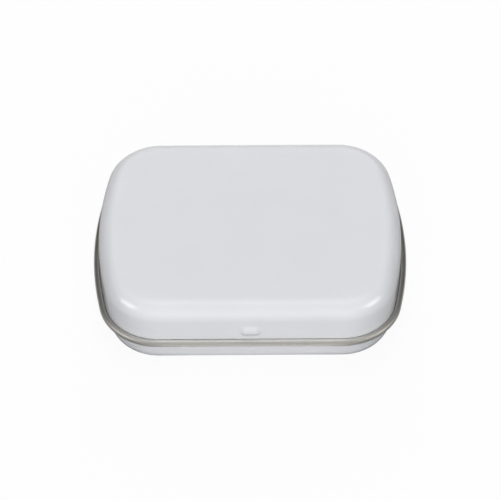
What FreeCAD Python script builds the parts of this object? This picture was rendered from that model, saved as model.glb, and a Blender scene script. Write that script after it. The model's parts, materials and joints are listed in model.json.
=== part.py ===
import FreeCAD, Part
import math
import os

# Small hinged mint tin: a drawn lid and a drawn base of thin tinplate, joined at the rear by a steel wire.
# Millimetres, +X to the right, +Y to the rear, +Z up, with the origin at the middle of the underside.
# The lid is closed. It swings up and back about the hinge wire, which lies along X in the lid's rear curl.

# The tin as a whole
SHEET = 0.25
LID_WIDTH = 60.0
LID_DEPTH = 47.6
CORNER_RADIUS = 10.8
SIDE_BOW_RADIUS = 72.0
TIN_HEIGHT = 15.2
CROWN_RADIUS = 3.3
HINGE_HEIGHT = 6.6

# The hinge wire, its gaps to the lid that turns on it and to the ears that hold it, and how far it stops
# short of the ends of the lid's straight rear edge
WIRE_DIAMETER = 0.88
WIRE_END_GAP = 0.65
WIRE_CHAMFER = 0.12
WIRE_RUNNING_GAP = 0.03
WIRE_SEAT_GAP = 0.02

# The curl along the lid's lower edge, in degrees of turn from the skirt to its free edge
LID_CURL_TURN = 288.0

# The base: its gap to the lid's skirt, the height of its rim, its foot and its rolled-in rim
BASE_GAP = 0.55
BASE_HEIGHT = 11.4
FOOT_RADIUS = 2.5
RIM_RADIUS = 0.55
RIM_TURN = 255.0

# The base's hinge ears, set in from the ends of the straight rear edge, and the windows for them in the lid
EAR_WIDTH = 6.0
EAR_END_GAP = 3.15
EAR_BEND_RADIUS = 0.25
EAR_TURN = 262.0
EAR_SIDE_GAP = 0.3
WINDOW_HEAD_GAP = 0.4

# The oval bump on the lid's front, and the catch dimple behind it on the base
CATCH_HEIGHT = 9.5
BUMP_WIDTH = 4.4
BUMP_HEIGHT = 2.9
BUMP_RISE = 0.5
DIMPLE_WIDTH = 3.0
DIMPLE_HEIGHT = 1.5
DIMPLE_RISE = 0.3

# How far a cutting box passes the faces that it cuts
OVERRUN = 1.0

# Sizes that follow from those above
half_sheet = SHEET / 2
half_depth = LID_DEPTH / 2
curl_bore = WIRE_DIAMETER / 2 + WIRE_RUNNING_GAP
curl_radius = curl_bore + SHEET
hinge_y = half_depth + curl_bore
base_inset = SHEET + BASE_GAP
ear_bore = WIRE_DIAMETER / 2 + WIRE_SEAT_GAP
ear_bend_height = HINGE_HEIGHT + ear_bore - EAR_BEND_RADIUS
window_head = HINGE_HEIGHT + ear_bore + SHEET + WINDOW_HEAD_GAP
window_width = EAR_WIDTH + 2 * EAR_SIDE_GAP

# Centres of the outline's arcs, and the angle at which a side's arc meets a corner's
side_x = LID_WIDTH / 2 - SIDE_BOW_RADIUS
corner_y = half_depth - CORNER_RADIUS
corner_x = side_x + math.sqrt((SIDE_BOW_RADIUS - CORNER_RADIUS) ** 2 - corner_y**2)
side_angle = math.degrees(math.atan2(corner_y, corner_x - side_x))

# Places along the straight rear edge, which ends at the rear corners' centres
ear_x = corner_x - EAR_END_GAP - EAR_WIDTH / 2
wire_x = corner_x - WIRE_END_GAP


def at(x, y, z):
    return FreeCAD.Vector(x, y, z)


def line(start, end):
    return Part.LineSegment(start, end).toShape()


def box(width, y_range, z_range, x=0):
    """A box centred on x, between two places along Y and two along Z."""
    corner = at(x - width / 2, y_range[0], z_range[0])
    return Part.makeBox(width, y_range[1] - y_range[0], z_range[1] - z_range[0], corner)


def outline_arcs():
    """Centre X and Y, radius, first and last angle of the lid's outline arcs, in order round the tin."""
    arcs = []
    for turn, sign in ((0, 1), (180, -1)):
        arcs.append((sign * side_x, 0, SIDE_BOW_RADIUS, turn - side_angle, turn + side_angle))
        arcs.append((sign * corner_x, sign * corner_y, CORNER_RADIUS, turn + side_angle, turn + 90))
        arcs.append((-sign * corner_x, sign * corner_y, CORNER_RADIUS, turn + 90, turn + 180 - side_angle))
    return arcs


def plate(inset, bottom):
    """A flat plate of sheet with the lid's outline drawn in by an inset."""

    def point(x, y, radius, angle):
        turn = math.radians(angle)
        return at(x + (radius - inset) * math.cos(turn), y + (radius - inset) * math.sin(turn), bottom)

    edges = []
    for x, y, radius, first, last in outline_arcs():
        ends = [point(x, y, radius, angle) for angle in (first, (first + last) / 2, last)]
        edges.append(Part.Arc(*ends).toShape())
    for y in (half_depth - inset, inset - half_depth):
        edges.append(line(at(corner_x, y, bottom), at(-corner_x, y, bottom)))
    outline = Part.Wire(Part.__sortEdges__(edges))
    return Part.Face(outline).extrude(at(0, 0, SHEET))


def polar(centre, radius, angle):
    """A point of a circle in the XZ plane."""
    turn = math.radians(angle)
    return centre + at(radius * math.cos(turn), 0, radius * math.sin(turn))


def bent_sheet(start, heading, moves):
    """A strip of sheet seen on edge, as a face in the XZ plane with X outwards.

    The strip starts at the middle of its thickness. A move (0, length) runs straight on, and a move
    (radius, turn) bends the middle of the sheet, with a positive turn to the left. Angles are in degrees.
    """

    def sides(place):
        return [polar(place, half_sheet, heading + 90), polar(place, half_sheet, heading - 90)]

    place = start
    edges = [line(*sides(place))]
    for radius, amount in moves:
        if radius == 0:
            end = polar(place, amount, heading)
            edges += [line(*pair) for pair in zip(sides(place), sides(end))]
            place = end
            continue
        sign = math.copysign(1, amount)
        centre = polar(place, radius, heading + sign * 90)
        spoke = heading - sign * 90
        for size in (radius - half_sheet, radius + half_sheet):
            points = [polar(centre, size, spoke + share * amount) for share in (0, 0.5, 1)]
            edges.append(Part.Arc(*points).toShape())
        place = polar(centre, radius, spoke + amount)
        heading += amount
    edges.append(line(*sides(place)))
    return Part.Face(Part.Wire(Part.__sortEdges__(edges)))


def swept_round(section):
    """A section carried once round the tin, where its X is the distance outwards from the lid's skirt."""
    pieces = []
    for x, y, radius, first, last in outline_arcs():
        start = section.translated(at(radius, 0, 0)).rotated(at(0, 0, 0), at(0, 0, 1), first)
        pieces.append(start.revolve(at(0, 0, 0), at(0, 0, 1), last - first).translated(at(x, y, 0)))
    for angle in (90, 270):
        start = section.translated(at(half_depth, corner_x, 0)).rotated(at(0, 0, 0), at(0, 0, 1), angle)
        along = at(0, -2 * corner_x, 0)
        pieces.append(start.extrude(FreeCAD.Rotation(at(0, 0, 1), angle).multVec(along)))
    return pieces


def joined(pieces):
    return pieces[0].multiFuse(pieces[1:]).removeSplitter()


def ellipsoid(y, half_width, half_rise, half_height):
    """An ellipsoid on the tin's middle plane, at the height of the catch."""
    shape = FreeCAD.Matrix()
    shape.scale(at(half_width, half_rise, half_height))
    shape.move(at(0, y, CATCH_HEIGHT))
    return Part.makeSphere(1).transformGeometry(shape)


def pressed_out(shell, face_y, width, height, rise):
    """The shell with an oval pressed out of its front wall, whose outer face is at face_y."""
    outer = ellipsoid(face_y, width / 2, rise, height / 2)
    across = (face_y - rise - OVERRUN, face_y + half_sheet)
    front = outer.common(box(width + OVERRUN, across, (0, TIN_HEIGHT)))
    hollow = ellipsoid(face_y + SHEET, width / 2 - SHEET, rise, height / 2 - SHEET)
    return shell.fuse(front).cut(hollow)


def lid_shell():
    top = plate(CROWN_RADIUS, TIN_HEIGHT - SHEET)
    wall = bent_sheet(
        at(-CROWN_RADIUS, 0, TIN_HEIGHT - half_sheet),
        0,
        [
            (CROWN_RADIUS - half_sheet, -90),
            (0, TIN_HEIGHT - CROWN_RADIUS - HINGE_HEIGHT),
            (curl_bore + half_sheet, LID_CURL_TURN),
        ],
    )
    shell = joined([top] + swept_round(wall))
    across = (half_depth - SHEET - OVERRUN, hinge_y + curl_radius + OVERRUN)
    for x in (-ear_x, ear_x):
        shell = shell.cut(box(window_width, across, (0, window_head), x))
    return pressed_out(shell, -half_depth, BUMP_WIDTH, BUMP_HEIGHT, BUMP_RISE)


def hinge_ear(x):
    """A tongue of the base's rear wall, bent back over the hinge wire and rolled round it."""
    section = bent_sheet(
        at(-base_inset - half_sheet, 0, ear_bend_height),
        90,
        [
            (EAR_BEND_RADIUS + half_sheet, -90),
            (0, base_inset - EAR_BEND_RADIUS + curl_bore),
            (ear_bore + half_sheet, -EAR_TURN),
        ],
    )
    section = section.rotated(at(0, 0, 0), at(0, 0, 1), 90)
    return section.translated(at(x - EAR_WIDTH / 2, half_depth, 0)).extrude(at(EAR_WIDTH, 0, 0))


def base_shell():
    floor = plate(base_inset + FOOT_RADIUS, 0)
    wall = bent_sheet(
        at(-base_inset - FOOT_RADIUS, 0, half_sheet),
        0,
        [
            (FOOT_RADIUS - half_sheet, 90),
            (0, BASE_HEIGHT - FOOT_RADIUS - RIM_RADIUS),
            (RIM_RADIUS - half_sheet, RIM_TURN),
        ],
    )
    shell = joined([floor] + swept_round(wall))
    rear = half_depth - base_inset
    across = (rear - 2 * RIM_RADIUS - OVERRUN, rear + OVERRUN)
    for x in (-ear_x, ear_x):
        shell = shell.cut(box(window_width, across, (ear_bend_height, BASE_HEIGHT + OVERRUN), x))
    shell = joined([shell] + [hinge_ear(x) for x in (-ear_x, ear_x)])
    return pressed_out(shell, -rear, DIMPLE_WIDTH, DIMPLE_HEIGHT, DIMPLE_RISE)


def hinge_wire():
    wire = Part.makeCylinder(WIRE_DIAMETER / 2, 2 * wire_x, at(-wire_x, hinge_y, HINGE_HEIGHT), at(1, 0, 0))
    rims = [edge for edge in wire.Edges if edge.isClosed() and len(edge.Vertexes) == 1]
    return wire.makeChamfer(WIRE_CHAMFER, rims)


os.makedirs("parts", exist_ok=True)
for make in (lid_shell, base_shell, hinge_wire):
    make().exportStep(f"parts/{make.__name__}.step")
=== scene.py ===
import json
import math

import bpy
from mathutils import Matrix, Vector


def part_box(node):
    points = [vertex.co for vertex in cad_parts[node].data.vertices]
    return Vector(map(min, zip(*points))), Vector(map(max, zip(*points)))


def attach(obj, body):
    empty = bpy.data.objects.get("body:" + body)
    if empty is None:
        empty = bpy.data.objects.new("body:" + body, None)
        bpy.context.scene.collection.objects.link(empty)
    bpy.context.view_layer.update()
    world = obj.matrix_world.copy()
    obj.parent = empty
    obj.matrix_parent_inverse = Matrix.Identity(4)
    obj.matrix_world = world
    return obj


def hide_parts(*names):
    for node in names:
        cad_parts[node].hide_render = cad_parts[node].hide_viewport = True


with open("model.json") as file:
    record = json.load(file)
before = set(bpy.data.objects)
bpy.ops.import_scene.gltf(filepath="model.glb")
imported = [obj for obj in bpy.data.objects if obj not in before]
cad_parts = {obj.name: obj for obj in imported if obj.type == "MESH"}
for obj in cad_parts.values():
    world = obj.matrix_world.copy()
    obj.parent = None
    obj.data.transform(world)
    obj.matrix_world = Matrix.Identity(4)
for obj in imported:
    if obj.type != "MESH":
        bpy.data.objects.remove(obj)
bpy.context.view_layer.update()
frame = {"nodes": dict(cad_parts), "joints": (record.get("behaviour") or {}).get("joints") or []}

# Looks of a small hinged mint tin: two pressings of white lacquered tinplate and a steel hinge wire.
# Metres, +X to the right, +Y to the hinge at the rear, +Z up from the surface that the tin stands on.
MM = 0.001

# The sheet of both pressings, and the hinge wire with its gaps to the lid's curl and to the base's ears
SHEET = 0.25 * MM
HALF_SHEET = SHEET / 2
HINGE = Vector(frame["joints"][0]["pos_m"])
WIRE_RADIUS = 0.44 * MM
WIRE_RUNNING_GAP = 0.03 * MM
WIRE_SEAT_GAP = 0.02 * MM
CURL_BORE = WIRE_RADIUS + WIRE_RUNNING_GAP
EAR_BORE = WIRE_RADIUS + WIRE_SEAT_GAP

# The lid, measured to the outside of its skirt, with its curl's turn in degrees
CURL_REACH = 2 * CURL_BORE + SHEET
HALF_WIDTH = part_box("lid_shell")[1][0] - CURL_REACH
HALF_DEPTH = HINGE.y - CURL_BORE
TIN_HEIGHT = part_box("lid_shell")[1][2]
CORNER_RADIUS = 10.8 * MM
SIDE_BOW_RADIUS = 72.0 * MM
CROWN_RADIUS = 3.3 * MM
LID_CURL_TURN = 288.0

# The base, set in from the lid's skirt, with its rolled-in rim's turn in degrees
BASE_GAP = 0.55 * MM
BASE_INSET = SHEET + BASE_GAP
BASE_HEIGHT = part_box("base_shell")[1][2]
FOOT_RADIUS = 2.5 * MM
RIM_RADIUS = 0.55 * MM
RIM_TURN = 255.0

# The base's hinge ears, with their roll's turn in degrees, and the windows for them in the rear walls
EAR_WIDTH = 6.0 * MM
EAR_END_GAP = 3.15 * MM
EAR_SIDE_GAP = 0.3 * MM
EAR_BEND_RADIUS = 0.25 * MM
EAR_BEND_HEIGHT = HINGE.z + EAR_BORE - EAR_BEND_RADIUS
EAR_TURN = 262.0
WINDOW_HEAD_GAP = 0.4 * MM
WINDOW_HEAD = HINGE.z + EAR_BORE + SHEET + WINDOW_HEAD_GAP
WINDOW_WIDTH = EAR_WIDTH + 2 * EAR_SIDE_GAP
WINDOW_DEPTH = 5.0 * MM

# The oval bump on the lid's front, and the catch dimple behind it on the base
CATCH_HEIGHT = 9.5 * MM
BUMP = {"Oval Width": 4.4 * MM, "Oval Height": 2.9 * MM, "Oval Rise": 0.5 * MM}
DIMPLE = {"Oval Width": 3.0 * MM, "Oval Height": 1.5 * MM, "Oval Rise": 0.3 * MM}

# The ovals' form: the length of their straight ridge as a share of their width, its place below mid height as
# a share of half their height, and the foot and the shoulder of their flank as shares of the reach from the
# ridge to their edge
OVAL_RIDGE_SHARE = 0.45
OVAL_PEAK_SHARE = 0.12
OVAL_FOOT_SHARE = 1.05
OVAL_SHOULDER_SHARE = 0.1

# Centres of the outline's arcs, the angle where a side's arc meets a corner's, and the ears' places
SIDE_X = HALF_WIDTH - SIDE_BOW_RADIUS
CORNER_Y = HALF_DEPTH - CORNER_RADIUS
CORNER_X = SIDE_X + math.sqrt((SIDE_BOW_RADIUS - CORNER_RADIUS) ** 2 - CORNER_Y**2)
SIDE_ANGLE = math.degrees(math.atan2(CORNER_Y, CORNER_X - SIDE_X))
EAR_X = CORNER_X - EAR_END_GAP - EAR_WIDTH / 2

# Fineness of the pressings: steps along the outline, finer within a distance of the middle of the front for
# the ovals, and steps of the section, where a bend's step is in degrees
SIDE_STEPS = 28
CORNER_STEPS = 30
STRAIGHT_STEPS = 12
FRONT_STEP = 0.12 * MM
FRONT_FINE = 3.2 * MM
BEND_STEP = 7.5
WALL_STEP = 0.12 * MM
EDGE_STEPS = 5

# The flat border of a plate beside its bend, the distance at which points merge, and a sharp edge's angle
PLATE_BORDER = 5.5 * MM
PLATE_BORDER_SHARES = (1.0, 0.86, 0.6, 0.3, 0.08)
MERGE_DISTANCE = 0.002 * MM
SHARP_EDGE = math.radians(40)

# What a point of a pressing carries, lacquered or bare, and the mean above which all of a face is lacquered
COATED = 1.0
BARE = 0.0
ALL_COATED = 0.99

# Patterns of the finishes: handling marks with the headings of the scratches in degrees, grain, the lacquer's
# clouding, orange peel and waviness, and the depth of each finish's relief
LACQUER_MARKS = {"Smudge Size": 7.0 * MM, "Scratch Length": 9.0 * MM, "Scratch Width": 0.35 * MM}
TINPLATE_MARKS = {"Smudge Size": 5.0 * MM, "Scratch Length": 7.0 * MM, "Scratch Width": 0.3 * MM}
STEEL_MARKS = {"Smudge Size": 2.0 * MM, "Scratch Length": 2.5 * MM, "Scratch Width": 0.1 * MM}
SCRATCH_HEADINGS = (18, 77, 141)
TINPLATE_GRAIN = {"Line Length": 16.0 * MM, "Line Width": 0.22 * MM}
STEEL_GRAIN = {"Line Length": 5.0 * MM, "Line Width": 0.06 * MM}
CLOUD_SIZE = 11.0 * MM
PEEL_SIZE = 0.7 * MM
SWAY_SIZE = 9.0 * MM
PEEL_DEPTH = 0.004 * MM
TINPLATE_DEPTH = 0.001 * MM
STEEL_DEPTH = 0.0006 * MM

# Levels of soft noise at which each pattern starts and is whole, and how near to its line a scratch shows
CLOUD_LEVELS = (0.3, 0.7)
SMUDGE_LEVELS = (0.4, 0.7)
SCRATCHED_LEVELS = (0.56, 0.68)
GRAIN_LEVELS = (0.28, 0.72)
HAIRLINE_LEVEL = 0.012

# How drawing changed the tinplate: at the sides its grain turns down and fades, by a power of the share of
# half the width, and in the corners it is gathered and duller, with a painted shade that darkens it, by that
# share times the share of half the depth
SIDE_POWER = 5.0
FADING_SHARES = (0.2, 0.9)
GRAIN_KEPT_SHARES = (1.0, 0.25)
DULL_AND_SHADED_SHARES = (0.58, 0.76)

# Tones of the finishes, in pairs that a pattern moves between, and the painted shade of the tinplate's
# corners
LACQUER_TONES = ((0.785, 0.794, 0.826, 1), (0.803, 0.812, 0.842, 1))
TINPLATE_TONES = ((0.72, 0.7, 0.66, 1), (0.84, 0.815, 0.77, 1))
PAINTED_SHADE_TINPLATE = (0.57, 0.55, 0.515, 1)
STEEL_TONES = ((0.46, 0.45, 0.44, 1), (0.58, 0.57, 0.56, 1))


# Node trees


class Graph:
    """A node tree with short calls that add nodes and link them."""

    def __init__(self, tree):
        self.tree = tree

    def node(self, kind, inputs=None, **settings):
        """A new node, whose settings come before its inputs because some of them make inputs."""
        node = self.tree.nodes.new(kind)
        for name, value in settings.items():
            setattr(node, name, value)
        for name, value in (inputs or {}).items():
            self.feed(node.inputs[name], value)
        return node

    def feed(self, socket, value):
        """Links a socket to an output or sets it to a value, which for a vector may be one number."""
        if isinstance(value, bpy.types.NodeSocket):
            self.tree.links.new(value, socket)
        elif socket.type == "VECTOR" and isinstance(value, float):
            socket.default_value = (value, value, value)
        else:
            socket.default_value = value

    def out(self, kind, inputs=None, **settings):
        """The first output of a new node."""
        return self.node(kind, inputs, **settings).outputs[0]

    def calc(self, operation, *values):
        return self.out("ShaderNodeMath", dict(enumerate(values)), operation=operation)

    def vector(self, operation, *values):
        return self.out("ShaderNodeVectorMath", dict(enumerate(values)), operation=operation)

    def measure(self, operation, *vectors):
        """The number that an operation such as a length or a distance gives."""
        node = self.node("ShaderNodeVectorMath", dict(enumerate(vectors)), operation=operation)
        return node.outputs["Value"]

    def attribute(self, name, kind):
        return self.out("GeometryNodeInputNamedAttribute", {"Name": name}, data_type=kind)


def graded(g, value, low, high, to_low=0.0, to_high=1.0, **settings):
    """A value carried from one range to another, and held at the ends."""
    ends = {"Value": value, "From Min": low, "From Max": high, "To Min": to_low, "To Max": to_high}
    return g.out("ShaderNodeMapRange", ends, **settings)


def group_graph(name, kind, inputs, outputs):
    """A new node group with named sockets, as (name, socket type) pairs, and its given inputs."""
    tree = bpy.data.node_groups.new(name, kind)
    for direction, sockets in (("INPUT", inputs), ("OUTPUT", outputs)):
        for label, socket_type in sockets:
            tree.interface.new_socket(label, in_out=direction, socket_type=socket_type)
    graph = Graph(tree)
    return graph, graph.node("NodeGroupInput").outputs


def geometry_graph(name, objects, sizes, materials):
    inputs = [("Geometry", "NodeSocketGeometry")]
    inputs += [(label, "NodeSocketObject") for label in objects]
    inputs += [(label, "NodeSocketFloat") for label in sizes]
    inputs += [(label, "NodeSocketMaterial") for label in materials]
    return group_graph(name, "GeometryNodeTree", inputs, [("Geometry", "NodeSocketGeometry")])


def add_object(name, data):
    added = bpy.data.objects.new(name, data)
    bpy.context.collection.objects.link(added)
    return added


def run_tree(name, graph, source, values):
    """A new object with the plain mesh that a tree makes from a source object, its inputs set by name."""
    modifier = source.modifiers.new(name, "NODES")
    modifier.node_group = graph.tree
    for item in graph.tree.interface.items_tree:
        if item.in_out == "INPUT" and item.name in values:
            modifier[item.identifier] = values[item.name]
    bpy.context.view_layer.update()
    depsgraph = bpy.context.evaluated_depsgraph_get()
    mesh = bpy.data.meshes.new_from_object(source.evaluated_get(depsgraph), depsgraph=depsgraph)
    mesh.name = name
    source.modifiers.remove(modifier)
    return add_object(name, mesh)


# Outline and sections of the pressings


def spread(first, last, count):
    """Evenly spread values from first to last, without the last one."""
    return [first + (last - first) * i / count for i in range(count)]


def outline_stations():
    """Points of the lid's skirt in plan with their outward directions, once round the tin."""
    stations = []

    def arc(x, y, radius, first, last, count):
        for angle in spread(first, last, count):
            out = Vector((math.cos(math.radians(angle)), math.sin(math.radians(angle)), 0))
            stations.append((Vector((x, y, 0)) + radius * out, out))

    front = spread(-CORNER_X, -FRONT_FINE, STRAIGHT_STEPS)
    front += spread(-FRONT_FINE, FRONT_FINE, round(2 * FRONT_FINE / FRONT_STEP))
    front += spread(FRONT_FINE, CORNER_X, STRAIGHT_STEPS)
    straights = {1: spread(CORNER_X, -CORNER_X, STRAIGHT_STEPS), -1: front}
    for turn, sign in ((0, 1), (180, -1)):
        side_end = turn + SIDE_ANGLE
        next_side = turn + 180 - SIDE_ANGLE
        arc(sign * SIDE_X, 0, SIDE_BOW_RADIUS, turn - SIDE_ANGLE, side_end, SIDE_STEPS)
        arc(sign * CORNER_X, sign * CORNER_Y, CORNER_RADIUS, side_end, turn + 90, CORNER_STEPS)
        for x in straights[sign]:
            stations.append((Vector((x, sign * HALF_DEPTH, 0)), Vector((0, sign, 0))))
        arc(-sign * CORNER_X, sign * CORNER_Y, CORNER_RADIUS, turn + 90, next_side, CORNER_STEPS)
    return stations


def polar(centre, radius, angle):
    turn = math.radians(angle)
    return centre + Vector((radius * math.cos(turn), radius * math.sin(turn)))


def bent_sheet(start, heading, moves):
    """The left face, the rounded free edge and the right face of a bent strip of sheet seen on edge.

    X is outwards and Y up. A move (0, length) runs straight on, and a move (radius, turn) bends the middle
    of the sheet, with a positive turn to the left. Angles are in degrees.
    """
    faces = ([], [])

    def put(place):
        for face, side in zip(faces, (90, -90)):
            face.append(polar(place, HALF_SHEET, heading + side))

    place = start
    put(place)
    for radius, amount in moves:
        steps = math.ceil(abs(amount) / (BEND_STEP if radius else WALL_STEP))
        if radius:
            sign = math.copysign(1, amount)
            centre = polar(place, radius, heading + 90 * sign)
            first = heading
            for i in range(1, steps + 1):
                heading = first + amount * i / steps
                put(polar(centre, radius, heading - 90 * sign))
            place = polar(centre, radius, heading - 90 * sign)
        else:
            run = polar(place, amount, heading) - place
            for i in range(1, steps + 1):
                put(place + run * i / steps)
            place = place + run
    edge = [polar(place, HALF_SHEET, heading + 90 - 180 * i / EDGE_STEPS) for i in range(1, EDGE_STEPS)]
    return faces[0], edge, faces[1]


def line_object(name, points, closed, **attributes):
    """A mesh of edges through points, with named vertex attributes of numbers or of vectors."""
    mesh = bpy.data.meshes.new(name)
    count = len(points)
    mesh.from_pydata(points, [(i, (i + 1) % count) for i in range(count if closed else count - 1)], [])
    for label, values in attributes.items():
        vector = isinstance(values[0], Vector)
        layer = mesh.attributes.new(label, "FLOAT_VECTOR" if vector else "FLOAT", "POINT")
        flat = [c for v in values for c in v] if vector else values
        layer.data.foreach_set("vector" if vector else "value", flat)
    return add_object(name, mesh)


def section_object(name, faces, coats, closed=False):
    """A strip's section from its start to its free edge and back, with the coats of its left and right face.

    A sweep to the left of its path lays the section's Y downwards, so Y is turned over here.
    """
    left, edge, right = faces
    points = left + edge + list(reversed(right))
    coat = [coats[0]] * len(left) + [BARE] * len(edge) + [coats[1]] * len(right)
    return line_object(name, [Vector((p.x, -p.y, 0)) for p in points], closed, coat=coat)


def plate_border(face):
    """Points of the flat plate beside a pressing's wall, from its middle outwards."""
    return [face[0] - Vector((PLATE_BORDER * share, 0)) for share in PLATE_BORDER_SHARES]


def pressing_section(name, start, moves, coats):
    left, edge, right = bent_sheet(start, 0, moves)
    return section_object(name, (plate_border(left) + left, edge, plate_border(right) + right), coats)


# Geometry trees of the pressings and of the hinge ears


def swept(g, path, outward, section, caps):
    """A section, given as a mesh of edges, carried along a path with the section's X laid outward."""
    path = g.out("GeometryNodeSetCurveNormal", {"Curve": path, "Normal": outward}, mode="FREE")
    section = g.out("GeometryNodeMeshToCurve", {"Mesh": section})
    return g.out("GeometryNodeCurveToMesh", {"Curve": path, "Profile Curve": section, "Fill Caps": caps})


def welded(g, shape):
    return g.out("GeometryNodeMergeByDistance", {"Geometry": shape, "Distance": MERGE_DISTANCE})


def plated(g, wall, path, outward, given):
    """A swept wall closed by an upper and a lower plate, which have the path's shape drawn in."""
    inward = g.calc("MULTIPLY", given["Plate Inset"], -1.0)
    drawn_in = g.out("ShaderNodeVectorMath", {0: outward, "Scale": inward}, operation="SCALE")
    plate_edge = g.out("GeometryNodeSetPosition", {"Geometry": path, "Offset": drawn_in})
    plate = g.out("GeometryNodeFillCurve", {"Curve": plate_edge}, mode="NGONS")
    join = g.node("GeometryNodeJoinGeometry", {0: wall})
    for side in ("Upper", "Lower"):
        lift = g.out("ShaderNodeCombineXYZ", {"Z": given[side + " Plate"]})
        lifted = g.out("GeometryNodeTransform", {"Geometry": plate, "Translation": lift})
        if side == "Lower":
            lifted = g.out("GeometryNodeFlipFaces", {"Mesh": lifted})
        coat = {"Geometry": lifted, "Name": "coat", "Value": given[side + " Coat"]}
        g.feed(join.inputs[0], g.out("GeometryNodeStoreNamedAttribute", coat, data_type="FLOAT"))
    return welded(g, join.outputs[0])


def oval_pressed(g, shell, given):
    """The shell with an oval pressed out of its front wall: a straight ridge with a soft flank all round."""
    x, y, z = g.node("ShaderNodeSeparateXYZ", {0: g.out("GeometryNodeInputPosition")}).outputs
    across = g.calc("DIVIDE", x, g.calc("MULTIPLY", given["Oval Width"], 0.5))
    above = g.calc("SUBTRACT", z, given["Oval Centre"])
    above = g.calc("DIVIDE", above, g.calc("MULTIPLY", given["Oval Height"], 0.5))
    past_ridge = g.calc("MAXIMUM", g.calc("SUBTRACT", g.calc("ABSOLUTE", across), OVAL_RIDGE_SHARE), 0.0)
    past_ridge = g.calc("DIVIDE", past_ridge, 1.0 - OVAL_RIDGE_SHARE)
    over_ridge = g.calc("ADD", above, OVAL_PEAK_SHARE)
    upper = g.calc("DIVIDE", over_ridge, 1.0 + OVAL_PEAK_SHARE)
    lower = g.calc("DIVIDE", over_ridge, OVAL_PEAK_SHARE - 1.0)
    off_ridge = g.out("ShaderNodeCombineXYZ", {"X": past_ridge, "Z": g.calc("MAXIMUM", upper, lower)})
    reach = g.measure("LENGTH", off_ridge)
    flank = graded(g, reach, OVAL_FOOT_SHARE, OVAL_SHOULDER_SHARE, interpolation_type="SMOOTHSTEP")
    rise = g.calc("MULTIPLY", flank, given["Oval Rise"])
    push = g.out("ShaderNodeCombineXYZ", {"Y": g.calc("MULTIPLY", rise, -1.0)})
    on_front = g.calc("LESS_THAN", y, 0.0)
    return g.out("GeometryNodeSetPosition", {"Geometry": shell, "Selection": on_front, "Offset": push})


def rear_cut(g, shell, given):
    """The shell with a box cut through its rear wall on each side of the middle."""
    height = g.calc("SUBTRACT", given["Cut High"], given["Cut Low"])
    middle = g.calc("MULTIPLY", g.calc("ADD", given["Cut High"], given["Cut Low"]), 0.5)
    size = g.out("ShaderNodeCombineXYZ", {"X": given["Cut Width"], "Y": given["Cut Depth"], "Z": height})
    cutter = g.out("GeometryNodeMeshCube", {"Size": size})
    cut = g.node("GeometryNodeMeshBoolean", {"Mesh 1": shell}, operation="DIFFERENCE", solver="MANIFOLD")
    for sign in (-1.0, 1.0):
        x = g.calc("MULTIPLY", given["Cut Place"], sign)
        spot = g.out("ShaderNodeCombineXYZ", {"X": x, "Y": HALF_DEPTH, "Z": middle})
        moved = g.out("GeometryNodeTransform", {"Geometry": cutter, "Translation": spot})
        g.feed(cut.inputs["Mesh 2"], moved)
    return cut.outputs["Mesh"]


def coated_faces(g, shell):
    """The shell with its points' coat made a face attribute, 1 where all of a face is lacquered."""
    coated = g.calc("GREATER_THAN", g.attribute("coat", "FLOAT"), ALL_COATED)
    stored = {"Geometry": shell, "Name": "coated", "Value": coated}
    return g.out("GeometryNodeStoreNamedAttribute", stored, data_type="FLOAT", domain="FACE")


def finished(g, shell, given):
    """The shell realized, shaded smooth but for its sharp edges, and set in bare metal and lacquer."""
    turn = g.node("GeometryNodeInputMeshEdgeAngle").outputs["Unsigned Angle"]
    flat = g.calc("LESS_THAN", turn, SHARP_EDGE)
    shell = g.out("GeometryNodeSetShadeSmooth", {"Geometry": shell, "Shade Smooth": True}, domain="FACE")
    shell = g.out("GeometryNodeSetShadeSmooth", {"Geometry": shell, "Shade Smooth": flat}, domain="EDGE")
    shell = g.out("GeometryNodeRealizeInstances", {"Geometry": shell})
    shell = g.out("GeometryNodeSetMaterial", {"Geometry": shell, "Material": given["Bare Metal"]})
    coated = g.calc("GREATER_THAN", g.attribute("coated", "FLOAT"), 0.5)
    lacquered = {"Geometry": shell, "Selection": coated, "Material": given["Lacquer"]}
    return g.out("GeometryNodeSetMaterial", lacquered)


def pressed_sheet_tree():
    """A sheet's section carried round the outline and closed with its plates, with an oval pressed out of its
    front wall, two cuts through its rear wall and tongues joined to it."""
    sizes = ["Plate Inset", "Upper Plate", "Lower Plate", "Upper Coat", "Lower Coat"]
    sizes += ["Oval Centre", "Oval Width", "Oval Height", "Oval Rise"]
    sizes += ["Cut Place", "Cut Width", "Cut Depth", "Cut Low", "Cut High"]
    g, given = geometry_graph("pressed_sheet", ["Section", "Tongues"], sizes, ["Lacquer", "Bare Metal"])
    outward = g.attribute("outward", "FLOAT_VECTOR")
    path = g.out("GeometryNodeMeshToCurve", {"Mesh": given["Geometry"]})
    section = g.node("GeometryNodeObjectInfo", {"Object": given["Section"]}).outputs["Geometry"]
    tongues = g.node("GeometryNodeObjectInfo", {"Object": given["Tongues"]}).outputs["Geometry"]
    shell = plated(g, swept(g, path, outward, section, caps=False), path, outward, given)
    shell = coated_faces(g, oval_pressed(g, shell, given))
    union = g.node("GeometryNodeMeshBoolean", operation="UNION", solver="MANIFOLD")
    for piece in (rear_cut(g, shell, given), tongues):
        g.feed(union.inputs["Mesh 2"], piece)
    g.node("NodeGroupOutput", {"Geometry": finished(g, union.outputs["Mesh"], given)})
    return g


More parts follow.
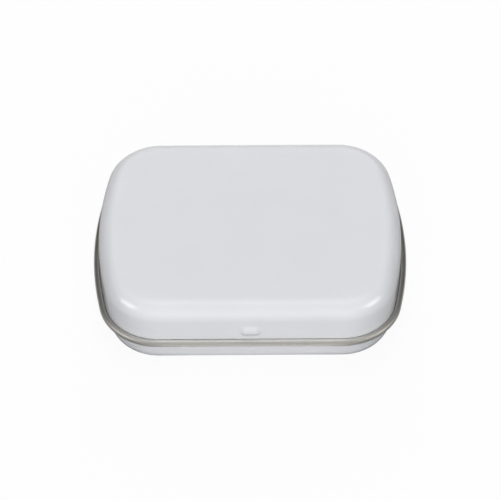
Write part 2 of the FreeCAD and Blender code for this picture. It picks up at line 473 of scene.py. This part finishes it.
def rolled_ears_tree():
    """A rolled ear's section carried along the hinge, once at each of two places."""
    sizes = ["Ear Width", "Ear Place", "Rear"]
    g, given = geometry_graph("rolled_ears", [], sizes, ["Lacquer", "Bare Metal"])
    ends = {}
    for end, share in (("Start", 0.5), ("End", -0.5)):
        ends[end] = g.out("ShaderNodeCombineXYZ", {"X": g.calc("MULTIPLY", given["Ear Width"], share)})
    path = g.out("GeometryNodeCurvePrimitiveLine", ends)
    ear = swept(g, path, (0.0, 1.0, 0.0), given["Geometry"], caps=True)
    ear = coated_faces(g, welded(g, ear))
    spots = []
    for sign in (-1.0, 1.0):
        x = g.calc("MULTIPLY", given["Ear Place"], sign)
        spots.append(g.out("ShaderNodeCombineXYZ", {"X": x, "Y": given["Rear"]}))
    places = {"Count": 2, "Start Location": spots[0], "Offset": spots[1]}
    places = g.out("GeometryNodeMeshLine", places, mode="END_POINTS")
    ears = g.out("GeometryNodeInstanceOnPoints", {"Points": places, "Instance": ear})
    ears = g.out("GeometryNodeRealizeInstances", {"Geometry": ears})
    g.node("NodeGroupOutput", {"Geometry": finished(g, ears, given)})
    return g


# Finishes shared by the materials


def noise(g, place, size, detail=2.0):
    """A soft random value whose features are about a size across, which may differ along X, Y and Z."""
    scaled = g.vector("DIVIDE", place, size)
    return g.out("ShaderNodeTexNoise", {"Vector": scaled, "Scale": 1.0, "Detail": detail})


def pattern_graph(name, sizes, outputs):
    """A new shader group that makes values from a place and from sizes."""
    inputs = [("Place", "NodeSocketVector")] + [(label, "NodeSocketFloat") for label in sizes]
    return group_graph(name, "ShaderNodeTree", inputs, [(label, "NodeSocketFloat") for label in outputs])


def handling_marks_group():
    """Soft smudges and sparse hairline scratches, each a mask from 0 to 1."""
    sizes = ["Smudge Size", "Scratch Length", "Scratch Width"]
    g, given = pattern_graph("handling_marks", sizes, ["Smudge", "Scratch"])
    smudge = graded(g, noise(g, given["Place"], given["Smudge Size"], detail=3.0), *SMUDGE_LEVELS)
    width = given["Scratch Width"]
    size = g.out("ShaderNodeCombineXYZ", {"X": given["Scratch Length"], "Y": width, "Z": width})
    scratch = 0.0
    for heading in SCRATCH_HEADINGS:
        turn = {"Vector": given["Place"], "Angle": math.radians(heading)}
        turned = g.out("ShaderNodeVectorRotate", turn, rotation_type="Z_AXIS")
        off_line = g.calc("ABSOLUTE", g.calc("SUBTRACT", noise(g, turned, size, detail=0.0), 0.5))
        hairline = graded(g, off_line, HAIRLINE_LEVEL, 0.0)
        patch = graded(g, noise(g, turned, given["Scratch Length"], detail=0.0), *SCRATCHED_LEVELS)
        scratch = g.calc("MAXIMUM", scratch, g.calc("MULTIPLY", hairline, patch))
    g.node("NodeGroupOutput", {"Smudge": smudge, "Scratch": scratch})
    return g.tree


def drawn_grain_group():
    """Fine lines along X, as rolling leaves them in sheet and drawing in wire, as a value from 0 to 1."""
    g, given = pattern_graph("drawn_grain", ["Line Length", "Line Width"], ["Grain"])
    width = given["Line Width"]
    size = g.out("ShaderNodeCombineXYZ", {"X": given["Line Length"], "Y": width, "Z": width})
    g.node("NodeGroupOutput", {"Grain": graded(g, noise(g, given["Place"], size), *GRAIN_LEVELS)})
    return g.tree


def placed(g, group, place, sizes):
    """The outputs of a shader group that is placed in a material with sizes of its own."""
    return g.node("ShaderNodeGroup", {"Place": place, **sizes}, node_tree=group).outputs


def finish_graph(name):
    """A new material, its empty graph and the place on the piece that its patterns follow."""
    material = bpy.data.materials.new(name)
    material.use_nodes = True
    material.node_tree.nodes.clear()
    g = Graph(material.node_tree)
    return material, g, g.node("ShaderNodeTexCoord").outputs["Object"]


def two_tones(g, share, first, second):
    """A colour between two that follows a share from 0 to 1."""
    mix = g.node("ShaderNodeMix", data_type="RGBA")
    for socket, value in (("Factor_Float", share), ("A_Color", first), ("B_Color", second)):
        g.feed(next(s for s in mix.inputs if s.identifier == socket), value)
    return next(s for s in mix.outputs if s.identifier == "Result_Color")


def weighted(g, *terms):
    """The sum of (value, weight) terms."""
    total = 0.0
    for value, weight in terms:
        total = g.calc("MULTIPLY_ADD", value, weight, total)
    return total


def bumped(g, height, depth):
    return g.out("ShaderNodeBump", {"Height": height, "Distance": depth})


def surfaced(g, inputs):
    shader = g.out("ShaderNodeBsdfPrincipled", inputs)
    g.node("ShaderNodeOutputMaterial", {"Surface": shader})


# Materials


def white_lacquer(marks_group):
    """Stoved white lacquer: a faint orange peel over the sheet's slight waviness, and light handling."""
    material, g, place = finish_graph("stoved_white_lacquer")
    smudge, scratch = placed(g, marks_group, place, LACQUER_MARKS)
    cloud = graded(g, noise(g, place, CLOUD_SIZE, detail=3.0), *CLOUD_LEVELS)
    peel = noise(g, place, PEEL_SIZE, detail=1.0)
    sway = noise(g, place, SWAY_SIZE, detail=0.0)
    height = weighted(g, (peel, 1.0), (sway, 3.0), (scratch, -0.12))
    rough = weighted(g, (smudge, 0.04), (scratch, 0.06), (peel, 0.03))
    surfaced(
        g,
        {
            "Base Color": two_tones(g, cloud, *LACQUER_TONES),
            "Roughness": g.calc("ADD", rough, 0.28),
            "Normal": bumped(g, height, PEEL_DEPTH),
            "IOR": 1.5,
            "Coat Weight": 1.0,
            "Coat Roughness": 0.14,
        },
    )
    return material


def bare_tinplate(marks_group, grain_group):
    """Bare tinplate, whose rolled grain runs along the flat blank and so down the sides that were drawn.

    Drawing fades the grain at the sides and gathers the sheet in the corners, which are duller, and darker
    by a painted shade.
    """
    material, g, place = finish_graph("bare_tinplate")
    x, y, z = g.node("ShaderNodeSeparateXYZ", {0: place}).outputs
    across = g.calc("DIVIDE", x, HALF_WIDTH)
    along = g.calc("DIVIDE", y, HALF_DEPTH)
    to_side = g.calc("POWER", across, SIDE_POWER)
    blank_x = g.calc("MULTIPLY_ADD", to_side, z, x)
    blank_y = g.calc("ADD", y, z)
    blank = g.out("ShaderNodeCombineXYZ", {"X": blank_x, "Y": blank_y})
    grain = placed(g, grain_group, blank, TINPLATE_GRAIN)["Grain"]
    kept = graded(g, g.calc("ABSOLUTE", to_side), *FADING_SHARES, *GRAIN_KEPT_SHARES)
    grain = g.calc("MULTIPLY_ADD", g.calc("SUBTRACT", grain, 0.5), kept, 0.5)
    smudge, scratch = placed(g, marks_group, place, TINPLATE_MARKS)
    # The corners are duller, and darker by a painted shade
    dull_and_shaded = graded(g, g.calc("ABSOLUTE", g.calc("MULTIPLY", across, along)), *DULL_AND_SHADED_SHARES)
    rough = weighted(g, (grain, 0.1), (smudge, 0.06), (scratch, 0.08), (dull_and_shaded, 0.16))
    height = weighted(g, (grain, 1.0), (scratch, -0.6))
    bright = two_tones(g, grain, *TINPLATE_TONES)
    surfaced(
        g,
        {
            "Base Color": two_tones(g, dull_and_shaded, bright, PAINTED_SHADE_TINPLATE),
            "Metallic": 1.0,
            "Roughness": g.calc("ADD", rough, 0.24),
            "Normal": bumped(g, height, TINPLATE_DEPTH),
        },
    )
    return material


def drawn_steel(marks_group, grain_group):
    """Bright drawn steel wire with lines along its length."""
    material, g, place = finish_graph("drawn_steel_wire")
    grain = placed(g, grain_group, place, STEEL_GRAIN)["Grain"]
    smudge, scratch = placed(g, marks_group, place, STEEL_MARKS)
    rough = weighted(g, (grain, 0.1), (smudge, 0.1), (scratch, 0.05))
    surfaced(
        g,
        {
            "Base Color": two_tones(g, grain, *STEEL_TONES),
            "Metallic": 1.0,
            "Roughness": g.calc("ADD", rough, 0.2),
            "Normal": bumped(g, grain, STEEL_DEPTH),
        },
    )
    return material


# What the two pressings share

marks_group = handling_marks_group()
grain_group = drawn_grain_group()
finishes = {"Lacquer": white_lacquer(marks_group), "Bare Metal": bare_tinplate(marks_group, grain_group)}
points, outward = zip(*outline_stations())
outline = line_object("tin_outline", points, closed=True, outward=outward)
pressed_sheet = pressed_sheet_tree()
shared = {
    "Oval Centre": CATCH_HEIGHT,
    "Cut Place": EAR_X,
    "Cut Width": WINDOW_WIDTH,
    "Cut Depth": WINDOW_DEPTH,
    **finishes,
}

# The lid

lid_section = pressing_section(
    "lid_section",
    Vector((-CROWN_RADIUS, TIN_HEIGHT - HALF_SHEET)),
    [
        (CROWN_RADIUS - HALF_SHEET, -90),
        (0, TIN_HEIGHT - CROWN_RADIUS - HINGE.z),
        (CURL_BORE + HALF_SHEET, LID_CURL_TURN),
    ],
    (COATED, BARE),
)
lid = run_tree(
    "lid",
    pressed_sheet,
    outline,
    {
        "Section": lid_section,
        "Plate Inset": CROWN_RADIUS + PLATE_BORDER,
        "Upper Plate": TIN_HEIGHT,
        "Lower Plate": TIN_HEIGHT - SHEET,
        "Upper Coat": COATED,
        "Lower Coat": BARE,
        "Cut Low": 0.0,
        "Cut High": WINDOW_HEAD,
        **BUMP,
        **shared,
    },
)

# The base and its hinge ears

ear_faces = bent_sheet(
    Vector((-BASE_INSET - HALF_SHEET, EAR_BEND_HEIGHT)),
    90,
    [
        (EAR_BEND_RADIUS + HALF_SHEET, -90),
        (0, BASE_INSET - EAR_BEND_RADIUS + CURL_BORE),
        (EAR_BORE + HALF_SHEET, -EAR_TURN),
    ],
)
ear_section = section_object("ear_section", ear_faces, (BARE, COATED), closed=True)
ears = run_tree(
    "hinge_ears",
    rolled_ears_tree(),
    ear_section,
    {"Ear Width": EAR_WIDTH, "Ear Place": EAR_X, "Rear": HALF_DEPTH, **finishes},
)
base_section = pressing_section(
    "base_section",
    Vector((-BASE_INSET - FOOT_RADIUS, HALF_SHEET)),
    [
        (FOOT_RADIUS - HALF_SHEET, 90),
        (0, BASE_HEIGHT - FOOT_RADIUS - RIM_RADIUS),
        (RIM_RADIUS - HALF_SHEET, RIM_TURN),
    ],
    (BARE, COATED),
)
base = run_tree(
    "base",
    pressed_sheet,
    outline,
    {
        "Section": base_section,
        "Tongues": ears,
        "Plate Inset": BASE_INSET + FOOT_RADIUS + PLATE_BORDER,
        "Upper Plate": SHEET,
        "Lower Plate": 0.0,
        "Upper Coat": BARE,
        "Lower Coat": COATED,
        "Cut Low": EAR_BEND_HEIGHT,
        "Cut High": TIN_HEIGHT,
        **DIMPLE,
        **shared,
    },
)

# The hinge wire, which keeps its solid's mesh

wire_steel = drawn_steel(marks_group, grain_group)
for slot in frame["nodes"]["hinge_wire"].material_slots:
    slot.material = wire_steel

for helper in (outline, lid_section, base_section, ear_section, ears):
    bpy.data.objects.remove(helper)
for piece, body, node in ((lid, "lid", "lid_shell"), (base, "base", "base_shell")):
    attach(piece, body)
    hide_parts(node)


# Studio

# The point that the lamps face, and the camera in front of the tin, which aims a drop below that point
LOOK_AT = Vector((0, 0, 8.0 * MM))
CAMERA_ELEVATION = 46.28
CAMERA_DISTANCE = 539.05 * MM
CAMERA_ROLL = 0.33
LENS = 194.36
FRAME_DROP = 0.556 * MM

# The distance of the lamps from the tin, and the room, whose light side is up and to the front
LAMP_DISTANCE = 1.0
LIT_HEADING = (0.0, -0.707, 0.707)
FULLY_LIT = 0.9
ROOM_TONES = ((0.085, 0.082, 0.078, 1), (0.5, 0.5, 0.5, 1))

# The paper that the tin stands on: its tones to the camera, and those with which it sends light back to the
# tin, which carry a painted shade, darkest at a place beside each of the tin's corners and even from a reach
# away from there
FLOOR_RADIUS = 4.0
FLOOR_SIDES = 96
FIBRE_SIZE = 1.2 * MM
PAPER_TONES = ((0.86, 0.86, 0.86, 1), (0.94, 0.94, 0.94, 1))
PAPER_GLOW_SHARE = 0.93
SENT_TONES = ((0.04, 0.04, 0.04, 1), (0.3, 0.3, 0.3, 1))
SHADED_CORNER = Vector((25.0, 21.0, 0.0)) * MM
SHADE_REACH = 14.0 * MM

# How much of the paper's white the tin mirrors, in front and past its sides, and where along X that changes:
# a painted shade that greys the paper in the tin's reflections
MIRRORED_SHARES = (0.5, 0.2)
MIRRORED_PLACES = (18.0 * MM, 40.0 * MM)


def white_paper():
    """Matt white paper that shows nearly white to the camera, but keeps its shadows.

    It sends less light back to the tin than it shows, with a painted shade beside each of the tin's corners,
    and the tin mirrors it greyer, a painted shade that deepens past its sides and at the corners.
    """
    material, g, place = finish_graph("white_paper")
    path = g.node("ShaderNodeLightPath").outputs
    # A painted shade beside each of the tin's corners, in the light that the paper sends back and in its
    # reflection
    off_corner = g.measure("DISTANCE", g.vector("ABSOLUTE", place), SHADED_CORNER)
    unshaded = graded(g, off_corner, 0.0, SHADE_REACH)
    sent = two_tones(g, unshaded, *SENT_TONES)
    shown = two_tones(g, noise(g, place, FIBRE_SIZE, detail=3.0), *PAPER_TONES)
    paper = g.out("ShaderNodeBsdfDiffuse", {"Color": two_tones(g, path["Is Camera Ray"], sent, shown)})
    glow = g.out("ShaderNodeEmission", {"Color": (1, 1, 1, 1), "Strength": 1.0})
    aside = g.calc("ABSOLUTE", g.out("ShaderNodeSeparateXYZ", {0: place}))
    # The tin's reflection of the paper is greyed by a painted shade past its sides and at its corners
    mirrored = g.calc("MULTIPLY", graded(g, aside, *MIRRORED_PLACES, *MIRRORED_SHARES), unshaded)
    seen = g.calc("MAXIMUM", path["Is Camera Ray"], path["Is Transmission Ray"])
    seen = g.calc("MAXIMUM", seen, g.calc("MULTIPLY", path["Is Glossy Ray"], mirrored))
    share = g.calc("MULTIPLY", seen, PAPER_GLOW_SHARE)
    surface = g.out("ShaderNodeMixShader", {0: share, 1: paper, 2: glow})
    g.node("ShaderNodeOutputMaterial", {"Surface": surface})
    return material


def floor_sheet():
    mesh = bpy.data.meshes.new("floor")
    around = [2 * math.pi * i / FLOOR_SIDES for i in range(FLOOR_SIDES)]
    points = [(FLOOR_RADIUS * math.cos(a), FLOOR_RADIUS * math.sin(a), 0.0) for a in around]
    mesh.from_pydata(points, [], [range(FLOOR_SIDES)])
    mesh.materials.append(white_paper())
    floor = add_object("floor", mesh)


def studio_world():
    """A grey room that is lighter overhead and in front than at the sides and the rear."""
    world = bpy.data.worlds.new("studio_room")
    world.use_nodes = True
    world.node_tree.nodes.clear()
    g = Graph(world.node_tree)
    heading = g.node("ShaderNodeTexCoord").outputs["Generated"]
    lit = graded(g, g.measure("DOT_PRODUCT", heading, LIT_HEADING), 0.0, FULLY_LIT)
    back = g.out("ShaderNodeBackground", {"Color": two_tones(g, lit, *ROOM_TONES), "Strength": 1.0})
    g.node("ShaderNodeOutputWorld", {"Surface": back})
    bpy.context.scene.world = world


def from_the_tin(azimuth, elevation, distance):
    """A point seen from the tin, with azimuth 0 in front of it and 90 to its right."""
    around = math.radians(azimuth)
    up = math.radians(elevation)
    level = math.cos(up)
    return LOOK_AT + distance * Vector((math.sin(around) * level, -math.cos(around) * level, math.sin(up)))


def faced(thing, target):
    """Turns a lamp or camera to face a point, with its own upright kept up."""
    thing.rotation_euler = (target - thing.location).to_track_quat("-Z", "Y").to_euler()


def softbox(name, azimuth, elevation, width, height, brightness, lights=True, mirrored=True):
    """A soft rectangular lamp aimed at the tin, where a brightness of 1 looks white.

    A lamp that lights but isn't mirrored is a fill, and one that is only mirrored gives a highlight.
    """
    lamp = bpy.data.lights.new(name, "AREA")
    lamp.shape = "RECTANGLE"
    lamp.size = width
    lamp.size_y = height
    lamp.energy = brightness * math.pi * width * height
    box = add_object(name, lamp)
    box.visible_camera = False
    box.visible_diffuse = lights
    box.visible_glossy = mirrored
    box.location = from_the_tin(azimuth, elevation, LAMP_DISTANCE)
    faced(box, LOOK_AT)


def photo_camera():
    data = bpy.data.cameras.new("photo_camera")
    data.lens = LENS
    camera = add_object("photo_camera", data)
    camera.location = from_the_tin(0, CAMERA_ELEVATION, CAMERA_DISTANCE)
    tilt = math.radians(CAMERA_ELEVATION)
    upright = Vector((0, math.sin(tilt), math.cos(tilt)))
    faced(camera, LOOK_AT - FRAME_DROP * upright)
    camera.rotation_euler.rotate_axis("Z", -math.radians(CAMERA_ROLL))
    bpy.context.scene.camera = camera


floor_sheet()
studio_world()
softbox("front_low_fill", azimuth=0, elevation=14, width=1.0, height=0.35, brightness=4.0, mirrored=False)
softbox("front_high_fill", azimuth=0, elevation=45, width=1.0, height=0.6, brightness=1.1, mirrored=False)
softbox("rear_low_fill", azimuth=180, elevation=25, width=0.8, height=0.35, brightness=5.8, mirrored=False)
softbox("rear_high_fill", azimuth=180, elevation=64, width=0.6, height=0.4, brightness=2.5, mirrored=False)
softbox("overhead_softbox", azimuth=180, elevation=87, width=0.9, height=0.3, brightness=1.0)
for side, azimuth in (("left", -66), ("right", 66)):
    softbox(side + "_highlight", azimuth, elevation=30, width=0.5, height=0.4, brightness=3.0, lights=False)
photo_camera()
bpy.context.scene.view_settings.view_transform = "Standard"
